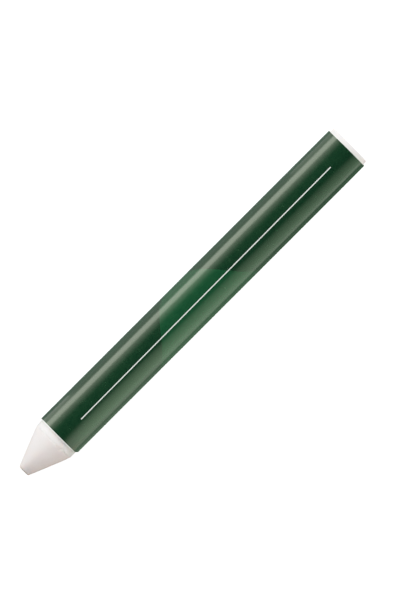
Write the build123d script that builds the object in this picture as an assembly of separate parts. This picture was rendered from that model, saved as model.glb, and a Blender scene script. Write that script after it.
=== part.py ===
"""Wax marking crayon: a white wax stick with a cone-cut tip in a sleeve of wound label paper.

The crayon lies along X on the surface that it rests on, nib towards -X and butt towards +X, in millimetres. The
origin is on that surface, under the middle of the stick. Angles round the axis start at +Y and turn towards +Z.
"""

import os
from math import cos, degrees, radians, sin

from build123d import *

# Wax stick
STICK_LENGTH = 120.0
STICK_DIAMETER = 12.2
CONE_LENGTH = 10.9
NIB_DIAMETER = 3.3
NIB_ROUNDING = 0.55
SHOULDER_ROUNDING = 0.5
BUTT_ROUNDING = 0.35

# Sleeve: one sheet of label paper, wound two turns
COLLAR_LENGTH = 2.0  # bare wax between the cone's shoulder and the sleeve
BUTT_REVEAL = 1.2  # bare wax behind the sleeve
STICK_CLEARANCE = 0.08  # radial play of the stick in the sleeve
PAPER_THICKNESS = 0.16
TURN_GAP = 0.05  # air between the two turns, which the glue fills along the seam

# Seam: where the sheet's outer cut edge lies, and how the sheet climbs over its own inner edge beside it
SEAM_ANGLE = -25.0  # degrees round the axis
SEAM_OPENING = 0.3  # from the outer cut edge to the start of the climb
CLIMB_WIDTH = 1.6

# Glue strip under the outer cut edge
GLUE_WIDTH = 6.0
GLUE_SETBACK = 0.5  # from the outer cut edge
GLUE_END_MARGIN = 2.0  # from each end of the sleeve

# The stick along the axis
nib_x = -STICK_LENGTH / 2
shoulder_x = nib_x + CONE_LENGTH
butt_x = STICK_LENGTH / 2
stick_radius = STICK_DIAMETER / 2

# The sleeve along the axis, and the radii of its two turns
sleeve_front_x = shoulder_x + COLLAR_LENGTH
sleeve_back_x = butt_x - BUTT_REVEAL
turn_pitch = PAPER_THICKNESS + TURN_GAP
inner_turn_bore = stick_radius + STICK_CLEARANCE
inner_turn_outside = inner_turn_bore + PAPER_THICKNESS
outer_turn_bore = inner_turn_bore + turn_pitch
sleeve_radius = outer_turn_bore + PAPER_THICKNESS
axis_height = sleeve_radius


def arc_degrees(width, radius):
    """Angle in degrees of an arc of that width along the circle."""
    return degrees(width / radius)


def polar(radius, angle):
    """Point of the cross-section at that radius and angle."""
    return radius * cos(radians(angle)), radius * sin(radians(angle))


def cross_section(x):
    """Plane across the axis at x, with its own X along Y and its own Y along Z."""
    return Plane(origin=(x, 0, 0), x_dir=(0, 1, 0), z_dir=(1, 0, 0))


def make_wax_stick():
    """One turned solid: blunt nib, cone, shoulder, cylinder and flat butt."""
    nib = (nib_x, NIB_DIAMETER / 2)
    shoulder = (shoulder_x, stick_radius)
    butt = (butt_x, stick_radius)
    outline = make_face(Polyline((nib_x, 0), nib, shoulder, butt, (butt_x, 0), close=True))
    for corner, rounding in ((nib, NIB_ROUNDING), (shoulder, SHOULDER_ROUNDING), (butt, BUTT_ROUNDING)):
        nearest = outline.vertices().sort_by_distance((*corner, 0))[0]
        outline = fillet(nearest, rounding)
    return revolve(outline, Axis.X)


def make_wrapper():
    """The sheet's section, two concentric turns joined by a short climb, drawn out over the sleeve's length."""
    climb_start = SEAM_ANGLE + arc_degrees(SEAM_OPENING, inner_turn_outside)
    climb_end = climb_start + arc_degrees(CLIMB_WIDTH, inner_turn_outside)
    climb_middle = (climb_start + climb_end) / 2
    inner_turn = 360 - (climb_end - climb_start)
    outer_turn = 360 - (climb_end - SEAM_ANGLE)

    def climb(radius):
        """The side of the sheet that rises by one turn from that radius."""
        return ThreePointArc(
            polar(radius, climb_start),
            polar(radius + turn_pitch / 2, climb_middle),
            polar(radius + turn_pitch, climb_end),
        )

    def cut_edge(radius, angle):
        """The sheet's end, across its thickness."""
        return Line(polar(radius, angle), polar(radius + PAPER_THICKNESS, angle))

    section = make_face(
        [
            cut_edge(inner_turn_bore, climb_end),
            CenterArc((0, 0), inner_turn_bore, climb_end, inner_turn),
            climb(inner_turn_bore),
            CenterArc((0, 0), outer_turn_bore, climb_end, outer_turn),
            cut_edge(outer_turn_bore, SEAM_ANGLE),
            CenterArc((0, 0), sleeve_radius, climb_end, outer_turn),
            climb(inner_turn_outside),
            CenterArc((0, 0), inner_turn_outside, climb_end, inner_turn),
        ]
    )
    return extrude(cross_section(sleeve_front_x) * section, sleeve_back_x - sleeve_front_x)


def make_seam_glue():
    """A curved film that fills the gap between the two turns beside the outer cut edge."""
    glue_end = SEAM_ANGLE - arc_degrees(GLUE_SETBACK, outer_turn_bore)
    glue_start = glue_end - arc_degrees(GLUE_WIDTH, outer_turn_bore)
    spread = glue_end - glue_start
    section = make_face(
        [
            CenterArc((0, 0), inner_turn_outside, glue_start, spread),
            Line(polar(inner_turn_outside, glue_end), polar(outer_turn_bore, glue_end)),
            CenterArc((0, 0), outer_turn_bore, glue_start, spread),
            Line(polar(inner_turn_outside, glue_start), polar(outer_turn_bore, glue_start)),
        ]
    )
    front_x = sleeve_front_x + GLUE_END_MARGIN
    back_x = sleeve_back_x - GLUE_END_MARGIN
    return extrude(cross_section(front_x) * section, back_x - front_x)


pieces = {
    "wax_stick": make_wax_stick(),
    "wrapper": make_wrapper(),
    "seam_glue": make_seam_glue(),
}

os.makedirs("parts", exist_ok=True)
for node, piece in pieces.items():
    export_step(Pos(0, 0, axis_height) * piece, f"parts/{node}.step")
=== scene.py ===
from math import pi, radians

import bpy
import numpy as np
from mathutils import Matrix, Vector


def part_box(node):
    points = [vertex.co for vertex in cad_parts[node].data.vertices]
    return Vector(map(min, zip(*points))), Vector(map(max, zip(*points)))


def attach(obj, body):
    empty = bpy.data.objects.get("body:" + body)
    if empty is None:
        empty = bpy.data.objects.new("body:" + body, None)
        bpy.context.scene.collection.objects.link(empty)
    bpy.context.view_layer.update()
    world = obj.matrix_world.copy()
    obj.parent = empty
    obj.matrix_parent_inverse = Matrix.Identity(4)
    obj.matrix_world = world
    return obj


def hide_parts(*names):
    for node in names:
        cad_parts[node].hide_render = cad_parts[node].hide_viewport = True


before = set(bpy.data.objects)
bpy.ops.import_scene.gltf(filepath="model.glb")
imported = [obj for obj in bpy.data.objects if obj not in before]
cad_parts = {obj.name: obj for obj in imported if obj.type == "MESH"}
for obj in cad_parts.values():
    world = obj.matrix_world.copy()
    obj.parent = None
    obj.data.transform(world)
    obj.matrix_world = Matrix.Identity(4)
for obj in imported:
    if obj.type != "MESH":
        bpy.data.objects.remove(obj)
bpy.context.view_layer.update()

# Wax stick: one casting of white pigmented wax, 12 mm thick. The front end is cut to a blunt cone, which
# leaves a ragged, chipped line at the shoulder, and the butt is sawn off square. It lies loose in the sleeve.
MM = 0.001
stick_low, stick_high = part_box("wax_stick")
stick_y = (stick_low.y + stick_high.y) / 2
axis_z = (stick_low.z + stick_high.z) / 2
stick_radius = (stick_high.y - stick_low.y) / 2
CONE_LENGTH = 10.9 * MM
NIB_RADIUS = 1.65 * MM
NIB_ROUNDING = 0.55 * MM
SHOULDER_ROUNDING = 0.5 * MM
BUTT_ROUNDING = 0.35 * MM
FAN_RADIUS = 0.02 * MM
STICK_COLUMNS = 384
SHOULDER_STEP = 0.07 * MM
SHOULDER_REACH = 1.4 * MM
BARE_STEP = 0.15 * MM
COVERED_STEP = 2.0 * MM
BARE_FRONT = 15.0 * MM
BARE_BACK = 3.0 * MM
shoulder_x = stick_low.x + CONE_LENGTH
wax_random = np.random.default_rng(seed=11)


def rounded_outline(corners, roundings, steps=400):
    """Points along a line through the corners. Each corner is cut off at its rounding's distance on both
    sides and replaced by the parabola that touches the two sides there. Every stretch gets the same number of
    points."""
    corners = np.array(corners, float)
    before = corners - np.roll(corners, 1, axis=0)
    after = np.roll(corners, -1, axis=0) - corners
    before /= np.linalg.norm(before, axis=1, keepdims=True)
    after /= np.linalg.norm(after, axis=1, keepdims=True)
    roundings = np.array(roundings, float)[:, None]
    start = corners - before * roundings
    end = corners + after * roundings
    t = np.linspace(0, 1, steps)[None, :, None]
    bends = (1 - t) ** 2 * start[:, None] + 2 * t * (1 - t) * corners[:, None] + t**2 * end[:, None]
    runs = end[:-1, None] + t * (start[1:] - end[:-1])[:, None]
    stretches = np.concatenate([bends[:-1], runs], axis=1).reshape(-1, 2)
    return np.concatenate([stretches, bends[-1]])


def stations(line, step):
    """Picks points along the line so that neighbours lie one step apart, where step is given for each of its
    points: the count of steps is summed along the line and the places of the whole numbers are read back."""
    lengths = np.linalg.norm(np.diff(line, axis=0), axis=1)
    count = np.concatenate([[0], np.cumsum(lengths / ((step[1:] + step[:-1]) / 2))])
    places = np.linspace(0, count[-1], int(count[-1]) + 1)
    return np.stack([np.interp(places, count, line[:, axis]) for axis in (0, 1)], axis=1)


def waves(random, round_axis, along=0.0, *, number, most_round, shortest=1.0):
    """Uneven surface as a sum of cosine waves, with unit spread. Each has a whole number of crests round the
    axis, up to most_round, so that the surface closes on itself, a length along the axis of at least
    shortest, and a random phase. Without a place along the axis it is a line round it."""
    crests = random.integers(-most_round, most_round + 1, number)
    per_metre = random.uniform(0, 2 * pi / shortest, number)
    phase = random.uniform(0, 2 * pi, number)
    total = np.zeros(np.broadcast(round_axis, along).shape)
    for k, m, p in zip(crests, per_metre, phase):
        total += np.cos(k * round_axis + m * along + p)
    return total * np.sqrt(2 / number)


def dents(round_axis, along, radius, places, sizes, depths):
    """Depth of scooped bowls at the given places, each an angle and a distance along the outline. A bowl
    falls off as one minus the square of the distance from its middle, over its width round the axis and its
    length along the outline."""
    total = np.zeros(np.broadcast(round_axis, along).shape)
    for (angle, place), (width, length), depth in zip(places, sizes, depths):
        across = np.angle(np.exp(1j * (round_axis - angle))) * radius / width
        distance = across**2 + ((along - place) / length) ** 2
        total = np.maximum(total, depth * np.clip(1 - distance, 0, None))
    return total


def skin(rings):
    """Points and quads between neighbouring rings of a (rings, columns, 3) array, each ring closed on itself,
    with the first and the last ring left open. Returns the points' numbers too, in an array of the rings."""
    rows, columns = rings.shape[:2]
    number = np.arange(rows * columns).reshape(rows, columns)
    here, there = number[:-1], number[1:]
    quads = np.stack([here, np.roll(here, -1, axis=1), np.roll(there, -1, axis=1), there], axis=-1)
    return rings.reshape(-1, 3), quads.reshape(-1, 4), number


def piece(name, points, faces, sharp_degrees):
    """Object at the origin with that mesh, shaded smooth except at edges sharper than the given angle."""
    mesh = bpy.data.meshes.new(name)
    mesh.from_pydata(points.tolist(), [], faces)
    mesh.shade_smooth()
    mesh.set_sharp_from_angle(angle=radians(sharp_degrees))
    made = bpy.data.objects.new(name, mesh)
    bpy.context.scene.collection.objects.link(made)
    return made


# The outline runs from the nib's middle to the butt's middle, as places along the axis and radii. A fan of
# triangles closes the tiny ring that is left at each end.
outline = rounded_outline(
    [
        (stick_low.x, FAN_RADIUS),
        (stick_low.x, NIB_RADIUS),
        (shoulder_x, stick_radius),
        (stick_high.x, stick_radius),
        (stick_high.x, FAN_RADIUS),
    ],
    [0, NIB_ROUNDING, SHOULDER_ROUNDING, BUTT_ROUNDING, 0],
)
bare = (outline[:, 0] < stick_low.x + BARE_FRONT) | (outline[:, 0] > stick_high.x - BARE_BACK)
at_shoulder = np.abs(outline[:, 0] - shoulder_x) < SHOULDER_REACH
outline = stations(outline, np.select([at_shoulder, bare], [SHOULDER_STEP, BARE_STEP], COVERED_STEP))
direction = np.gradient(outline, axis=0)
direction /= np.linalg.norm(direction, axis=1, keepdims=True)
place, radius = outline[:, :1], outline[:, 1:]
out_along, out_round = -direction[:, 1:], direction[:, :1]
run = np.concatenate([[0], np.cumsum(np.linalg.norm(np.diff(outline, axis=0), axis=1))])[:, None]
turn = np.linspace(0, 2 * pi, STICK_COLUMNS, endpoint=False)[None, :]

# The knife that cut the cone stopped at a ragged line: the cone starts about a tenth of a millimetre below
# the collar there, and comes back to its true line over the next few millimetres.
KNIFE_RAGGED = 0.34 * MM
KNIFE_SWAY, KNIFE_TEAR = 0.6, 0.5
KNIFE_DEPTH = 0.130 * MM
KNIFE_UNEVEN = 0.6
KNIFE_SHARES = (0.1, 2.0)
KNIFE_LIP = 0.14 * MM
KNIFE_FADE = 0.9 * MM
knife_line = shoulder_x + KNIFE_RAGGED * np.abs(
    KNIFE_SWAY * waves(wax_random, turn, number=14, most_round=18)
    + KNIFE_TEAR * waves(wax_random, turn, number=20, most_round=64)
)
knife_press = 1 + KNIFE_UNEVEN * waves(wax_random, turn, number=12, most_round=10)
knife_depth = KNIFE_DEPTH * np.clip(knife_press, *KNIFE_SHARES)
past_knife = np.clip((knife_line - place) / KNIFE_LIP, 0, 1)
knife_fading = np.exp(-np.clip(knife_line - place, 0, None) / KNIFE_FADE)
knife_cut = knife_depth * past_knife**2 * (3 - 2 * past_knife) * knife_fading

# Long unevenness from the casting, faint turning marks on the cone, finer marks and a grain on the collar,
# saw marks in slightly bowed lines across both ends, and a nib that has slumped a little.
CASTING_RISE = 0.016 * MM
CASTING_WAVE = 14 * MM
CONE_START = 0.4 * MM
TURNING_RISE = 0.006 * MM
TURNING_WAVE = 0.6 * MM
COLLAR_RISE = 0.012 * MM
COLLAR_WAVE = 0.32 * MM
GRAIN_RISE = 0.016 * MM
GRAIN_WAVE = 0.7 * MM
CUT_FACE_FROM = 0.6
SAW_ANGLE = 0.5
SAW_BOW = 150 * MM
SAW_RISE = 0.010 * MM
SAW_WAVE = 0.7 * MM
SLUMP_REACH = 1.5 * MM
SLUMP_RISE = 0.03 * MM
SLUMP_WAVE = 6 * MM
on_cone = np.clip((shoulder_x - place) / CONE_START, 0, 1)
on_collar = (1 - on_cone) * (place < stick_low.x + BARE_FRONT)
casting = CASTING_RISE * waves(wax_random, turn, place, number=14, most_round=4, shortest=CASTING_WAVE)
turning = waves(wax_random, turn, place, number=26, most_round=2, shortest=TURNING_WAVE)
turning *= TURNING_RISE * on_cone
collar_marks = waves(wax_random, turn, place, number=30, most_round=3, shortest=COLLAR_WAVE)
collar_marks *= COLLAR_RISE * on_collar
collar_grain = waves(wax_random, turn, place, number=40, most_round=56, shortest=GRAIN_WAVE)
collar_grain *= GRAIN_RISE * on_collar
cut_face = np.clip((np.abs(out_along) - CUT_FACE_FROM) / (1 - CUT_FACE_FROM), 0, 1)
sawn_place = radius * np.sin(turn + SAW_ANGLE) + (radius * np.cos(turn + SAW_ANGLE)) ** 2 / SAW_BOW
saw_marks = waves(wax_random, turn, sawn_place, number=18, most_round=0, shortest=SAW_WAVE)
saw_marks *= SAW_RISE * cut_face
nib_slump = waves(wax_random, turn, place, number=8, most_round=3, shortest=SLUMP_WAVE)
nib_slump *= SLUMP_RISE * np.clip(1 - (place - stick_low.x) / SLUMP_REACH, 0, 1)

# Small crumbs are broken out along the knife line, and fewer on the cone, the collar and the butt's rim.
CHIP_COUNT, PIT_COUNT, NICK_COUNT = 74, 60, 26
CHIP_OFFSET, CHIP_SPREAD = 0.12 * MM, 0.28 * MM
CHIP_SIZES = (0.13 * MM, 0.46 * MM)
CHIP_DEPTHS = (0.03 * MM, 0.13 * MM)
PIT_START = 2 * MM
PIT_SIZES = (0.1 * MM, 0.24 * MM)
PIT_STRETCHES = (0.7, 1.4)
PIT_DEPTHS = (0.02 * MM, 0.06 * MM)
NICK_SPREAD = 0.15 * MM
NICK_SIZES = (0.14 * MM, 0.5 * MM)
NICK_DEPTHS = (0.02 * MM, 0.09 * MM)
shoulder_run = np.interp(shoulder_x, place[:, 0], run[:, 0])
collar_end_run = np.interp(stick_low.x + BARE_FRONT, place[:, 0], run[:, 0])
rim_run = np.interp(stick_high.x - BUTT_ROUNDING, place[:, 0], run[:, 0]) + BUTT_ROUNDING
chip_turns = wax_random.uniform(0, 2 * pi, CHIP_COUNT)
chip_runs = shoulder_run + wax_random.normal(CHIP_OFFSET, CHIP_SPREAD, CHIP_COUNT)
chip_sizes = wax_random.uniform(*CHIP_SIZES, (CHIP_COUNT, 2))
chip_depths = wax_random.uniform(*CHIP_DEPTHS, CHIP_COUNT)
chips = dents(turn, run, radius, np.stack([chip_turns, chip_runs], axis=1), chip_sizes, chip_depths)
pit_turns = wax_random.uniform(0, 2 * pi, PIT_COUNT)
pit_runs = wax_random.uniform(PIT_START, collar_end_run, PIT_COUNT)
pit_sizes = wax_random.uniform(*PIT_SIZES, (PIT_COUNT, 1))
pit_sizes = pit_sizes * wax_random.uniform(*PIT_STRETCHES, (PIT_COUNT, 2))
pit_depths = wax_random.uniform(*PIT_DEPTHS, PIT_COUNT)
pits = dents(turn, run, radius, np.stack([pit_turns, pit_runs], axis=1), pit_sizes, pit_depths)
nick_turns = wax_random.uniform(0, 2 * pi, NICK_COUNT)
nick_runs = rim_run + wax_random.normal(0, NICK_SPREAD, NICK_COUNT)
nick_sizes = wax_random.uniform(*NICK_SIZES, (NICK_COUNT, 2))
nick_depths = wax_random.uniform(*NICK_DEPTHS, NICK_COUNT)
rim_nicks = dents(turn, run, stick_radius, np.stack([nick_turns, nick_runs], axis=1), nick_sizes, nick_depths)

# The sum stays inside the true outline: a soft limit keeps every point a little below it. It fades out
# towards the axis, where the columns meet.
SOFT_LIMIT = 0.02 * MM
CALM_RADIUS = 1.2 * MM
marks = casting + turning + collar_marks + collar_grain + saw_marks + nib_slump
rise = (marks - knife_cut - chips - pits - rim_nicks) * np.clip(radius / CALM_RADIUS, 0, 1)
rise = -SOFT_LIMIT * np.logaddexp(0, -rise / SOFT_LIMIT)

wax_radius = radius + rise * out_round
wax_x = np.broadcast_to(place + rise * out_along, wax_radius.shape)
wax_points = np.stack(
    [wax_x, stick_y + wax_radius * np.cos(turn), axis_z + wax_radius * np.sin(turn)], axis=-1
)
points, quads, number = skin(wax_points)
nib_middle, butt_middle = len(points), len(points) + 1
points = np.concatenate([points, [wax_points[0].mean(axis=0), wax_points[-1].mean(axis=0)]])
first, last = number[0], number[-1]
nib_fan = np.stack([np.full_like(first, nib_middle), np.roll(first, -1), first], axis=1)
butt_fan = np.stack([np.full_like(last, butt_middle), last, np.roll(last, -1)], axis=1)
wax_faces = quads.tolist() + nib_fan.tolist() + butt_fan.tolist()
wax_stick = piece("wax_stick_cast", points, wax_faces, sharp_degrees=60)

# The share of cut wax at each point is kept for the material: all of it on the cone and on both end faces.
cut_share = np.append(np.broadcast_to(np.maximum(past_knife, cut_face), wax_radius.shape), [1, 1])
cut = wax_stick.data.attributes.new("cut_share", "FLOAT", "POINT")
cut.data.foreach_set("value", cut_share.astype(np.float32))


def linear(hex_colour):
    """Linear RGBA of an sRGB hex colour: each channel is divided by 12.92 near black, and otherwise shifted
    by 0.055, scaled back to one and raised to the power 2.4."""
    srgb = np.array([int(hex_colour[k : k + 2], 16) for k in (1, 3, 5)]) / 255
    channels = np.where(srgb <= 0.04045, srgb / 12.92, ((srgb + 0.055) / 1.055) ** 2.4)
    return (*channels.tolist(), 1.0)


def add_node(tree, kind, inputs=None, **settings):
    """Adds a shader node, sets its own settings, and gives each input a value or a link from another node."""
    node = tree.nodes.new("ShaderNode" + kind)
    for name, value in settings.items():
        setattr(node, name, value)
    for name, value in (inputs or {}).items():
        if isinstance(value, bpy.types.NodeSocket):
            tree.links.new(value, node.inputs[name])
        else:
            node.inputs[name].default_value = value
    return node


def new_material(name):
    """Material with an empty node tree. Returns it and its tree."""
    material = bpy.data.materials.new(name)
    material.use_nodes = True
    material.node_tree.nodes.clear()
    return material, material.node_tree


# Pigmented wax, cast and cut: nearly white, dull with a faint greasy sheen, and light goes a little way into
# it. The pigment is a little uneven, the cut wax is warmer than the cast skin, and handling leaves the
# surface finely grained.
WAX_GRAIN = 0.35 * MM
WAX_CLOUD = 3.0 * MM
WAX_BUMP = 0.03 * MM
LIGHT_DEPTH = 0.4 * MM
# A Mix node's sockets for colours go by number, because their names come more than once.
MIX_SHARE, MIX_FIRST, MIX_SECOND, MIX_COLOUR = 0, 6, 7, 2
wax, tree = new_material("cast_white_wax")
where = add_node(tree, "TexCoord").outputs["Object"]
cloud = add_node(
    tree, "TexNoise", {"Vector": where, "Scale": 1 / WAX_CLOUD, "Detail": 4.0, "Roughness": 0.6}
).outputs["Fac"]
grain = add_node(
    tree, "TexNoise", {"Vector": where, "Scale": 1 / WAX_GRAIN, "Detail": 3.0, "Roughness": 0.7}
).outputs["Fac"]
cast_skin = add_node(
    tree, "Mix",
    {MIX_SHARE: cloud, MIX_FIRST: linear("#e6e1dd"), MIX_SECOND: linear("#edeae7")},
    data_type="RGBA",
).outputs[MIX_COLOUR]
cut_wax = add_node(
    tree, "Mix",
    {MIX_SHARE: cloud, MIX_FIRST: linear("#ebe1dd"), MIX_SECOND: linear("#f2ebe8")},
    data_type="RGBA",
).outputs[MIX_COLOUR]
is_cut = add_node(tree, "Attribute", attribute_name="cut_share", attribute_type="GEOMETRY").outputs["Fac"]
shade = add_node(
    tree, "Mix", {MIX_SHARE: is_cut, MIX_FIRST: cast_skin, MIX_SECOND: cut_wax}, data_type="RGBA"
).outputs[MIX_COLOUR]
dullness = add_node(
    tree, "MapRange",
    {"Value": grain, "From Min": 0.3, "From Max": 0.7, "To Min": 0.42, "To Max": 0.6},
).outputs["Result"]
relief = add_node(tree, "Bump", {"Height": grain, "Strength": 0.25, "Distance": WAX_BUMP}).outputs["Normal"]
shader = add_node(
    tree, "BsdfPrincipled",
    {
        "Base Color": shade,
        "Roughness": dullness,
        "Normal": relief,
        "IOR": 1.44,
        "Subsurface Weight": 0.3,
        "Subsurface Radius": (1.0, 0.7, 0.55),
        "Subsurface Scale": LIGHT_DEPTH,
    },
)
add_node(tree, "OutputMaterial", {"Surface": shader.outputs["BSDF"]})
wax_stick.data.materials.append(wax)
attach(wax_stick, "stick")
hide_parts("wax_stick")

# Paper sleeve: one sheet of coated label paper, printed and varnished on its outside, wound two turns round
# the stick. It climbs over its own inner edge beside the seam, and its cut edges show white. Handling has
# rubbed back the front edge on one side.
sleeve_low, sleeve_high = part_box("wrapper")
sleeve_radius = (sleeve_high.y - sleeve_low.y) / 2
PAPER = 0.16 * MM
TURN_GAP = 0.05 * MM
SEAM_ANGLE = radians(-25)
SEAM_OPENING = 0.3 * MM
CLIMB_WIDTH = 1.6 * MM
TURN_STEPS = 264
LENGTH_STEPS = 90
END_STEP = 0.09 * MM
END_DENSE = 1.4 * MM
RIPPLE_DEPTH = 0.012 * MM
RIPPLE_WAVE = 16 * MM
EDGE_WANDER = 0.02 * MM
RUB_LENGTH = 0.68 * MM
RUB_REACH = 0.75 * MM

inner_bore = sleeve_radius - 2 * PAPER - TURN_GAP
climb_start = SEAM_ANGLE + SEAM_OPENING / (inner_bore + PAPER)
climb_end = climb_start + CLIMB_WIDTH / (inner_bore + PAPER)
wound = np.linspace(climb_end, SEAM_ANGLE + 4 * pi, TURN_STEPS)
climbed = np.clip((wound - climb_start - 2 * pi) / (climb_end - climb_start), 0, 1)
sheet_bore = inner_bore + (PAPER + TURN_GAP) * climbed**2 * (3 - 2 * climbed)

ends = np.arange(0, END_DENSE, END_STEP)
middle = np.linspace(sleeve_low.x + END_DENSE, sleeve_high.x - END_DENSE, LENGTH_STEPS)
sheet_x = np.concatenate([sleeve_low.x + ends, middle, (sleeve_high.x - ends)[::-1]])


def sleeve_ripple(angle, x):
    """How far the wound paper lies inside a true cylinder: long shallow waves, alike in both turns, that are
    scaled to their highest crest and lowered by as much."""
    ripple = waves(np.random.default_rng(seed=31), angle, x, number=16, most_round=5, shortest=RIPPLE_WAVE)
    return RIPPLE_DEPTH * (ripple / np.abs(ripple).max() - 1)


def edge_wander(angle):
    """How far the cut front and back edges lie inside a straight line: a slight wander of the knife, and on
    the front the corner that is rubbed off, a slanted cut that starts its reach in from the near side and is
    deepest on that side."""
    front_wander = EDGE_WANDER * waves(np.random.default_rng(seed=37), angle, number=9, most_round=7)
    back_wander = EDGE_WANDER * waves(np.random.default_rng(seed=41), angle, number=9, most_round=7)
    to_near_side = -sleeve_radius * np.cos(angle)
    rubbed = RUB_LENGTH * np.clip((to_near_side - sleeve_radius + RUB_REACH) / RUB_REACH, 0, 1)
    return np.clip(front_wander, 0, None) + rubbed, -np.clip(back_wander, 0, None)


angle = wound[:, None]
front_shift, back_shift = edge_wander(angle)
near_front = np.clip(1 - (sheet_x - sleeve_low.x) / END_DENSE, 0, 1)
near_back = np.clip(1 - (sleeve_high.x - sheet_x) / END_DENSE, 0, 1)
x = sheet_x + front_shift * near_front + back_shift * near_back
bore = sheet_bore[:, None] + sleeve_ripple(angle, x)


def on_sleeve(distance):
    """Points of the wound sheet at that distance from the axis."""
    return np.stack([x, distance * np.cos(angle), axis_z + distance * np.sin(angle)], axis=-1)


# One ring of points goes round the sheet's own thickness: along the printed face from back to front, then
# along the bare face from front to back. The rings follow the winding from the inner edge to the outer one,
# and the two cut edges along the stick are closed between the faces.
printed_face, bare_face = on_sleeve(bore + PAPER)[:, ::-1], on_sleeve(bore)
points, quads, number = skin(np.concatenate([printed_face, bare_face], axis=1))
across = len(sheet_x)
printed, opposite = number[:, :across], number[:, ::-1][:, :across]
start_cap = np.stack([printed[0, :-1], opposite[0, :-1], opposite[0, 1:], printed[0, 1:]], axis=1)
end_cap = np.stack([printed[-1, :-1], printed[-1, 1:], opposite[-1, 1:], opposite[-1, :-1]], axis=1)
sleeve_faces = quads.tolist() + start_cap.tolist() + end_cap.tolist()
wrapper = piece("paper_sleeve", points, sleeve_faces, sharp_degrees=35)

# The print is laid out on the flat sheet: millimetres along the stick from the origin, and millimetres round
# the sleeve from its top line. Only the outer face is printed.
PRINTED_SLOT, BARE_SLOT = 0, 1
print_round = np.broadcast_to((angle - 2 * pi - pi / 2) * sleeve_radius, x.shape)
sheet_place = np.stack([x, print_round, np.zeros_like(x)], axis=-1) / MM
sheet_place = np.concatenate([sheet_place[:, ::-1], sheet_place], axis=1)
layout = wrapper.data.attributes.new("sheet_mm", "FLOAT_VECTOR", "POINT")
layout.data.foreach_set("vector", sheet_place.astype(np.float32).ravel())
column = np.tile(np.arange(2 * across), TURN_STEPS - 1)
material_index = np.full(len(wrapper.data.polygons), BARE_SLOT, np.int32)
material_index[: len(quads)][column < across - 1] = PRINTED_SLOT
wrapper.data.polygons.foreach_set("material_index", material_index)

# Coated label paper, offset printed in dark green with a lighter lozenge and a rule left white, and
# varnished: a deep even colour under a clear gloss that is softened by the paper's own grain. The rule runs a
# little askew, as it was wound. Half of the lozenge is round the back. The print's sizes are in millimetres.
INK_CLOUD = 1.6 * MM
PAPER_GRAIN = 0.28 * MM
GRAIN_BUMP = 0.02 * MM
RULE_START, RULE_END = -39.7, 52.15
RULE_ROUND_AT_START, RULE_ROUND_AT_END = 1.01, 0.525
RULE_WIDTH = 0.25
LOZENGE_MIDDLE = (2.2, 7.4)
LOZENGE_HALF = (17.6, 22.0)
EDGE_SOFTNESS = 0.06
END_MARGIN = 0.2
label, tree = new_material("printed_label_paper")
sheet = add_node(tree, "Attribute", attribute_name="sheet_mm", attribute_type="GEOMETRY").outputs["Vector"]
split = add_node(tree, "SeparateXYZ", {"Vector": sheet})
along_mm, round_mm = split.outputs["X"], split.outputs["Y"]


def off_middle(value, middle):
    """Distance from the middle, to either side."""
    off = add_node(tree, "Math", {0: value, 1: middle}, operation="SUBTRACT").outputs[0]
    return add_node(tree, "Math", {0: off}, operation="ABSOLUTE").outputs[0]


def within(distance, limit):
    """One where the distance is under the limit, zero past it, with a narrow soft edge between."""
    edge = {"From Min": limit + EDGE_SOFTNESS, "From Max": limit - EDGE_SOFTNESS}
    return add_node(tree, "MapRange", {"Value": distance, **edge}).outputs["Result"]


rule_slope = (RULE_ROUND_AT_END - RULE_ROUND_AT_START) / (RULE_END - RULE_START)
rule_round = add_node(
    tree, "Math",
    {0: along_mm, 1: rule_slope, 2: RULE_ROUND_AT_START - rule_slope * RULE_START},
    operation="MULTIPLY_ADD",
).outputs[0]
in_rule_width = within(off_middle(round_mm, rule_round), RULE_WIDTH / 2)
in_rule_length = within(off_middle(along_mm, (RULE_START + RULE_END) / 2), (RULE_END - RULE_START) / 2)
rule = add_node(tree, "Math", {0: in_rule_width, 1: in_rule_length}, operation="MULTIPLY").outputs[0]
sheet_middle = (sleeve_low.x + sleeve_high.x) / 2 / MM
sheet_half = (sleeve_high.x - sleeve_low.x) / 2 / MM
inked = within(off_middle(along_mm, sheet_middle), sheet_half - END_MARGIN)
margin = add_node(tree, "Math", {0: 1.0, 1: inked}, operation="SUBTRACT").outputs[0]
left_white = add_node(tree, "Math", {0: margin, 1: rule}, operation="MAXIMUM").outputs[0]

# The lozenge's edge is where the shares of its two half widths add up to one: the sum is taken in millimetres
# along the stick.
lozenge_along = off_middle(along_mm, LOZENGE_MIDDLE[0])
lozenge_round = off_middle(round_mm, LOZENGE_MIDDLE[1])
lozenge_sum = add_node(
    tree, "Math",
    {0: lozenge_round, 1: LOZENGE_HALF[0] / LOZENGE_HALF[1], 2: lozenge_along},
    operation="MULTIPLY_ADD",
).outputs[0]
in_lozenge = within(lozenge_sum, LOZENGE_HALF[0])
where = add_node(tree, "TexCoord").outputs["Object"]
ink_cloud = add_node(
    tree, "TexNoise", {"Vector": where, "Scale": 1 / INK_CLOUD, "Detail": 5.0, "Roughness": 0.65}
).outputs["Fac"]
fibre = add_node(
    tree, "TexNoise", {"Vector": where, "Scale": 1 / PAPER_GRAIN, "Detail": 3.0, "Roughness": 0.6}
).outputs["Fac"]
dark_ink = add_node(
    tree, "Mix",
    {MIX_SHARE: ink_cloud, MIX_FIRST: linear("#072c1a"), MIX_SECOND: linear("#0c3821")},
    data_type="RGBA",
).outputs[MIX_COLOUR]
light_ink = add_node(
    tree, "Mix",
    {MIX_SHARE: ink_cloud, MIX_FIRST: linear("#0c4026"), MIX_SECOND: linear("#114c2d")},
    data_type="RGBA",
).outputs[MIX_COLOUR]
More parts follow.
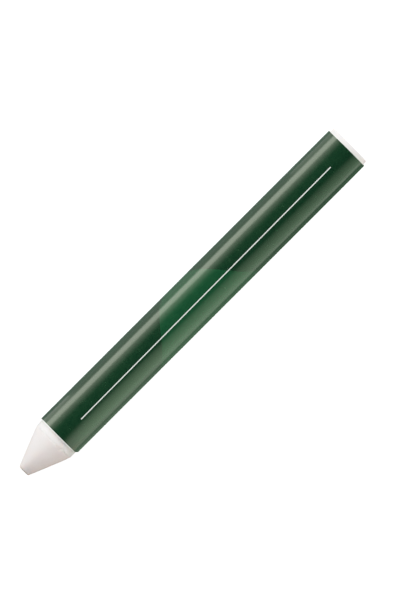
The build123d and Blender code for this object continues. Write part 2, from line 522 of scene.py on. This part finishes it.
ink = add_node(
    tree, "Mix", {MIX_SHARE: in_lozenge, MIX_FIRST: dark_ink, MIX_SECOND: light_ink}, data_type="RGBA"
).outputs[MIX_COLOUR]
colour = add_node(
    tree, "Mix", {MIX_SHARE: left_white, MIX_FIRST: ink, MIX_SECOND: linear("#eef0ec")}, data_type="RGBA"
).outputs[MIX_COLOUR]
gloss = add_node(
    tree, "MapRange",
    {"Value": ink_cloud, "From Min": 0.3, "From Max": 0.7, "To Min": 0.21, "To Max": 0.28},
).outputs["Result"]
relief = add_node(tree, "Bump", {"Height": fibre, "Strength": 0.12, "Distance": GRAIN_BUMP}).outputs["Normal"]
shader = add_node(
    tree, "BsdfPrincipled",
    {
        "Base Color": colour,
        "Roughness": gloss,
        "Normal": relief,
        "IOR": 1.5,
        "Specular Tint": linear("#f3ffce"),
        "Coat Weight": 1.0,
        "Coat Roughness": 0.16,
        "Coat IOR": 1.5,
    },
)
add_node(tree, "OutputMaterial", {"Surface": shader.outputs["BSDF"]})
wrapper.data.materials.append(label)

# Bare back and cut edges of the same paper: white, quite matt, with the felted fibre showing.
FIBRE = 0.2 * MM
FIBRE_BUMP = 0.02 * MM
bare_paper, tree = new_material("bare_label_paper")
where = add_node(tree, "TexCoord").outputs["Object"]
fibre = add_node(
    tree, "TexNoise", {"Vector": where, "Scale": 1 / FIBRE, "Detail": 5.0, "Roughness": 0.7}
).outputs["Fac"]
shade = add_node(
    tree, "Mix",
    {MIX_SHARE: fibre, MIX_FIRST: linear("#e6e2d8"), MIX_SECOND: linear("#f6f4ee")},
    data_type="RGBA",
).outputs[MIX_COLOUR]
relief = add_node(tree, "Bump", {"Height": fibre, "Strength": 0.3, "Distance": FIBRE_BUMP}).outputs["Normal"]
shader = add_node(tree, "BsdfPrincipled", {"Base Color": shade, "Roughness": 0.85, "Normal": relief})
add_node(tree, "OutputMaterial", {"Surface": shader.outputs["BSDF"]})
wrapper.data.materials.append(bare_paper)
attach(wrapper, "sleeve")
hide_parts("wrapper")

# Seam glue: a strip of dextrin paste between the two turns, under the outer cut edge. The solid's shape is
# right, so it stays and gets the finish of a thin dried film, clear amber with brush streaks along the seam.
STREAK = 0.5 * MM
STREAK_STRETCH = (0.06, 1.0, 1.0)
glue, tree = new_material("dried_dextrin_glue")
where = add_node(tree, "TexCoord").outputs["Object"]
streaks = add_node(tree, "Mapping", {"Vector": where, "Scale": STREAK_STRETCH}).outputs["Vector"]
film = add_node(tree, "TexNoise", {"Vector": streaks, "Scale": 1 / STREAK, "Detail": 3.0}).outputs["Fac"]
shade = add_node(
    tree, "Mix",
    {MIX_SHARE: film, MIX_FIRST: linear("#b98f4a"), MIX_SECOND: linear("#dcc492")},
    data_type="RGBA",
).outputs[MIX_COLOUR]
shader = add_node(tree, "BsdfPrincipled", {"Base Color": shade, "Roughness": 0.3})
add_node(tree, "OutputMaterial", {"Surface": shader.outputs["BSDF"]})
glue_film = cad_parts["seam_glue"]
glue_film.data.materials.clear()
glue_film.data.materials.append(glue)

# The set: a white table top that only the camera sees, over a grey table with strips and cards that light the
# crayon from low down, a dark flag and a small lit card before the nib, a screen along the near side, a soft
# box low on the far side, and a pale surround with a dark gap overhead.
TABLE_HALF = 4.0


def stage_sheet(name, corners, colour, glow=0.0, hidden=("camera",)):
    """Flat sheet of the set through its four corners, with a dull finish and a light of its own, hidden from
    the kinds of ray that are named."""
    mesh = bpy.data.meshes.new(name)
    mesh.from_pydata(corners, [], [(0, 1, 2, 3)])
    sheet = bpy.data.objects.new(name, mesh)
    bpy.context.scene.collection.objects.link(sheet)
    finish, tree = new_material(name)
    shader = add_node(
        tree, "BsdfPrincipled",
        {
            "Base Color": linear(colour),
            "Roughness": 1.0,
            "Specular IOR Level": 0.0,
            "Emission Color": linear(colour),
            "Emission Strength": glow,
        },
        name="finish",
    )
    add_node(tree, "OutputMaterial", {"Surface": shader.outputs["BSDF"]})
    mesh.materials.append(finish)
    for ray in hidden:
        setattr(sheet, "visible_" + ray, False)
    return sheet


def lying(low_x, high_x, low_y, high_y, z):
    """Corners of a level sheet between two places along the table and two across it."""
    return [(low_x, low_y, z), (high_x, low_y, z), (high_x, high_y, z), (low_x, high_y, z)]


def standing(foot, other_foot, height):
    """Corners of an upright sheet over the line between two places on the table."""
    return [(*foot, 0), (*other_foot, 0), (*other_foot, height), (*foot, height)]


# Under the white top lie, each a little higher than the one before, the grey table, the strips along the
# crayon whose colours show in its lower flanks, the card along the near side, and the cards towards the ends.
GREY_Z = -0.5 * MM
STRIP_Z = -0.4 * MM
SIDE_CARD_Z = -0.3 * MM
END_CARD_Z = -0.2 * MM
FRONT_CARD_EDGE = -48 * MM
FRONT_CARD_SIDE = -24 * MM
FAR_FRONT_EDGE = -38 * MM
FAR_BUTT_EDGE = 44 * MM
NIB_STRIP_EDGE = -48 * MM
NEAR_CARD_EDGE = -28 * MM
BUTT_CARD_X = 62 * MM
BUTT_CARD_EDGE = -12 * MM
FAR_STRIP_EDGE = 20 * MM
CARD_REACH = 400 * MM
whole_table = (-TABLE_HALF, TABLE_HALF, -TABLE_HALF, TABLE_HALF)
stage_sheet(
    "white_table_top", lying(*whole_table, 0.0), "#e4e4e4",
    glow=1.5, hidden=("diffuse", "glossy", "transmission", "shadow"),
)
stage_sheet("grey_table", lying(*whole_table, GREY_Z), "#b4b4b4")
stage_sheet("far_strip", lying(-TABLE_HALF, TABLE_HALF, 0, FAR_STRIP_EDGE, STRIP_Z), "#86928a")
near_strip = stage_sheet(
    "near_strip", lying(NIB_STRIP_EDGE, TABLE_HALF, NEAR_CARD_EDGE, 0, STRIP_Z), "#9fbba2",
    hidden=("camera", "diffuse"),
)
stage_sheet("nib_strip", lying(-TABLE_HALF, NIB_STRIP_EDGE, NEAR_CARD_EDGE, 0, STRIP_Z), "#82705f")
stage_sheet(
    "near_side_card", lying(-TABLE_HALF, TABLE_HALF, -CARD_REACH, NEAR_CARD_EDGE, SIDE_CARD_Z), "#dfecdd",
    glow=0.29,
)
stage_sheet(
    "near_front_card",
    lying(-TABLE_HALF, FRONT_CARD_EDGE, -CARD_REACH, FRONT_CARD_SIDE, END_CARD_Z),
    "#efdccd",
    glow=0.46,
)
stage_sheet(
    "near_butt_card", lying(BUTT_CARD_X, TABLE_HALF, -CARD_REACH, BUTT_CARD_EDGE, END_CARD_Z), "#f4e8e2",
    glow=0.95,
)
stage_sheet(
    "far_front_card", lying(-TABLE_HALF, FAR_FRONT_EDGE, FAR_STRIP_EDGE, CARD_REACH, END_CARD_Z), "#f0f0ee",
    glow=0.2,
)
stage_sheet(
    "far_butt_card", lying(FAR_BUTT_EDGE, TABLE_HALF, FAR_STRIP_EDGE, CARD_REACH, END_CARD_Z), "#dededc"
)

# The near strip shows only in gloss, and is darker towards the butt.
tree = near_strip.data.materials[0].node_tree
where = add_node(tree, "TexCoord").outputs["Object"]
strip_along = add_node(tree, "SeparateXYZ", {"Vector": where}).outputs["X"]
to_butt = add_node(
    tree, "MapRange", {"Value": strip_along, "From Min": NIB_STRIP_EDGE, "From Max": -NIB_STRIP_EDGE}
).outputs["Result"]
strip_colour = add_node(
    tree, "Mix",
    {MIX_SHARE: to_butt, MIX_FIRST: linear("#9fbba2"), MIX_SECOND: linear("#6f8a73")},
    data_type="RGBA",
).outputs[MIX_COLOUR]
tree.links.new(strip_colour, tree.nodes["finish"].inputs["Base Color"])

# The flag and the small card keep their distance from the nib when the stick is pushed out of the sleeve or
# back into it.
FLAG_X = -67 * MM
FLAG_HALF = 60 * MM
FLAG_HEIGHT = 17 * MM
NIB_CARD_X = -66.5 * MM
NIB_CARD_HALF = 25 * MM
NIB_CARD_HEIGHT = 5 * MM
nib_flag = stage_sheet(
    "nib_flag", standing((FLAG_X, -FLAG_HALF), (FLAG_X, FLAG_HALF), FLAG_HEIGHT), "#282828",
    hidden=("camera", "glossy"),
)
nib_card = stage_sheet(
    "nib_card",
    standing((NIB_CARD_X, -NIB_CARD_HALF), (NIB_CARD_X, NIB_CARD_HALF), NIB_CARD_HEIGHT),
    "#f0e6df",
    glow=1.6,
)
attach(nib_flag, "stick")
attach(nib_card, "stick")

# The screen along the near side shows only in gloss, above all in the sleeve's. Its glow fades upwards, and
# sooner towards the butt.
SCREEN_Y = -60 * MM
SCREEN_X = (-46 * MM, 110 * MM)
SCREEN_TOP = 150 * MM
SCREEN_FADE = 120 * MM
SCREEN_DARK = 120 * MM
SCREEN_LEAN = 0.6
SCREEN_LEVEL = 1.65
near_screen = stage_sheet(
    "near_screen", standing((SCREEN_X[0], SCREEN_Y), (SCREEN_X[1], SCREEN_Y), SCREEN_TOP), "#000000",
    hidden=("camera", "diffuse", "shadow"),
)
tree = near_screen.data.materials[0].node_tree
where = add_node(tree, "TexCoord").outputs["Object"]
height = add_node(
    tree, "VectorMath", {0: where, 1: (SCREEN_LEAN, 0, 1)}, operation="DOT_PRODUCT"
).outputs["Value"]
fading = add_node(
    tree, "MapRange",
    {"Value": height, "From Min": SCREEN_DARK, "From Max": SCREEN_DARK - SCREEN_FADE, "To Max": SCREEN_LEVEL},
).outputs["Result"]
tree.nodes["finish"].inputs["Emission Color"].default_value = linear("#e2ffe7")
tree.links.new(fading, tree.nodes["finish"].inputs["Emission Strength"])

# The soft box stands low on the far side and faces the crayon.
FAR_LAMP_ZENITH = radians(77)
FAR_LAMP_DISTANCE = 0.7
FAR_LAMP_SIZE = (0.44, 0.34)
FAR_LAMP_RADIANCE = 2.25
lamp = bpy.data.lights.new("far_soft_box", "AREA")
lamp.shape = "RECTANGLE"
lamp.size, lamp.size_y = FAR_LAMP_SIZE
lamp.energy = pi * FAR_LAMP_SIZE[0] * FAR_LAMP_SIZE[1] * FAR_LAMP_RADIANCE
far_soft_box = bpy.data.objects.new("far_soft_box", lamp)
far_soft_box.location = (
    0,
    FAR_LAMP_DISTANCE * np.sin(FAR_LAMP_ZENITH),
    axis_z + FAR_LAMP_DISTANCE * np.cos(FAR_LAMP_ZENITH),
)
far_soft_box.rotation_euler = (-FAR_LAMP_ZENITH, 0, 0)
far_soft_box.visible_camera = False
bpy.context.scene.collection.objects.link(far_soft_box)

# The surround glows evenly on both sides, up to the dark gap overhead. Towards the two ends it grows brighter
# with height, to the far side and to the butt. The limits are shares of a direction's length.
END_LEAN = (1.35, 2.4, 1.25)
END_FROM, END_FULL = 0.2, 0.42
GAP_FROM, GAP_DARK = 0.55, 0.86
SIDE_LEVEL = 0.99
world = bpy.data.worlds.new("studio_surround")
bpy.context.scene.world = world
world.use_nodes = True
tree = world.node_tree
tree.nodes.clear()
look = add_node(tree, "TexCoord").outputs["Generated"]
look_parts = add_node(tree, "SeparateXYZ", {"Vector": look})
upward = add_node(tree, "VectorMath", {0: look, 1: (0, 0, 0)}, operation="MAXIMUM").outputs["Vector"]
ends_glow = add_node(tree, "VectorMath", {0: upward, 1: END_LEAN}, operation="DOT_PRODUCT").outputs["Value"]
endward = add_node(tree, "Math", {0: look_parts.outputs["X"]}, operation="ABSOLUTE").outputs[0]
at_ends = add_node(
    tree, "MapRange", {"Value": endward, "From Min": END_FROM, "From Max": END_FULL}
).outputs["Result"]
sides_glow = add_node(
    tree, "MapRange",
    {"Value": look_parts.outputs["Z"], "From Min": GAP_DARK, "From Max": GAP_FROM, "To Max": SIDE_LEVEL},
).outputs["Result"]
glow = add_node(tree, "Mix", {"Factor": at_ends, "A": sides_glow, "B": ends_glow}).outputs["Result"]
surround = add_node(tree, "Background", {"Color": linear("#ffffff"), "Strength": glow})
add_node(tree, "OutputWorld", {"Surface": surround.outputs["Background"]})

# The camera hangs far above with a long lens, straight over the crayon, turned so that the butt points up and
# right.
PIXEL = 0.2596 * MM
PHOTO_LONG_SIDE = 600
LENS = 600.0
CENTRE_TO_BUTT = 3.91 * MM
CENTRE_TO_NEAR_SIDE = 0.94 * MM
CAMERA_TURN = radians(-45)
camera_data = bpy.data.cameras.new("camera")
camera_data.lens = LENS
camera_data.sensor_width = 36.0
camera_distance = LENS / camera_data.sensor_width * PHOTO_LONG_SIDE * PIXEL
camera_data.clip_end = 2 * camera_distance
camera = bpy.data.objects.new("camera", camera_data)
stick_middle = (stick_low.x + stick_high.x) / 2
camera.location = (stick_middle + CENTRE_TO_BUTT, -CENTRE_TO_NEAR_SIDE, axis_z + camera_distance)
camera.rotation_euler = (0, 0, CAMERA_TURN)
bpy.context.scene.collection.objects.link(camera)
bpy.context.scene.camera = camera

# Bright tones roll off as on film: straight up to the shoulder, then ever flatter, so that lit wax keeps its
# shape.
FILM_SHOULDER = 0.62
FILM_POINTS = [(0.80, 0.775), (1.0, 0.87)]
ALL_CHANNELS = 3
view = bpy.context.scene.view_settings
view.view_transform = "Standard"
view.use_curve_mapping = True
film = view.curve_mapping.curves[ALL_CHANNELS]
film.points[1].location = FILM_POINTS[-1]
for level in (FILM_SHOULDER / 2, FILM_SHOULDER):
    film.points.new(level, level).handle_type = "VECTOR"
for point in FILM_POINTS[:-1]:
    film.points.new(*point)
view.curve_mapping.update()
